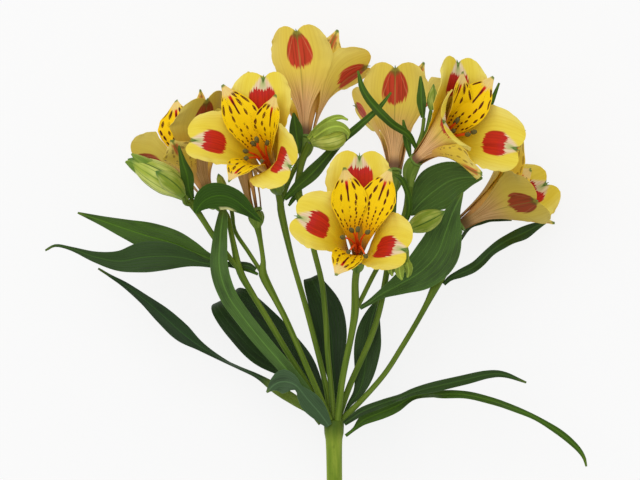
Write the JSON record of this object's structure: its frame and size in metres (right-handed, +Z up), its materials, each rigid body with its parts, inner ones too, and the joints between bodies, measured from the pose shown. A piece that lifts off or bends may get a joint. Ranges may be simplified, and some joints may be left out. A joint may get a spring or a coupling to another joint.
{
  "type": "cut alstroemeria stem",
  "caption": "Cut alstroemeria stem lying on a surface: a bare stalk, a whorl of leaves, and rays with yellow and red blooms, buds and narrow leaves.",
  "frame": {"origin": "middle of the bounding box, on the surface that the stem lies on", "axes": "+Y from the cut end to the blooms, +X to the right seen from above, +Z up from the surface"},
  "size_m": [0.2288, 0.402, 0.1115],
  "materials": {
    "stem": "smooth green plant stalk with a faint sheen",
    "ray": "smooth green plant stalk with ribbed ovaries",
    "leaf": "dark green leaf with long veins and a soft sheen",
    "bud": "pale green bud with darker veins",
    "bloom": "soft yellow petal with red blotches and dark dashes",
    "stamens": "orange filaments with olive anthers"
  },
  "bodies": {
    "root": {"main_stem": "stem", "ray_1": "ray", "ray_2": "ray", "ray_3": "ray", "ray_4": "ray", "ray_5": "ray", "ray_6": "ray", "ray_7": "ray", "leaf_1": "leaf", "leaf_2": "leaf", "leaf_3": "leaf", "leaf_4": "leaf", "leaf_5": "leaf", "leaf_6": "leaf", "leaf_8": "leaf", "leaf_9": "leaf", "leaf_10": "leaf", "leaf_11": "leaf", "leaf_12": "leaf", "leaf_13": "leaf", "leaf_14": "leaf", "leaf_15": "leaf", "leaf_16": "leaf", "leaf_17": "leaf", "leaf_18": "leaf", "leaf_19": "leaf", "leaf_20": "leaf", "leaf_21": "leaf", "leaf_22": "leaf", "leaf_23": "leaf", "leaf_24": "leaf", "leaf_25": "leaf", "bud_1": "bud", "bud_2": "bud", "bud_3": "bud", "bud_4": "bud", "bud_5": "bud", "bud_6": "bud", "bud_7": "bud", "bloom_a": "bloom", "bloom_b": "bloom", "bloom_c": "bloom", "bloom_d": "bloom", "bloom_e": "bloom", "bloom_f": "bloom", "bloom_g": "bloom", "bloom_h": "bloom", "stamens_a": "stamens", "stamens_b": "stamens", "stamens_c": "stamens", "stamens_d": "stamens", "stamens_e": "stamens", "stamens_f": "stamens", "stamens_g": "stamens"}
  },
  "joints": []
}
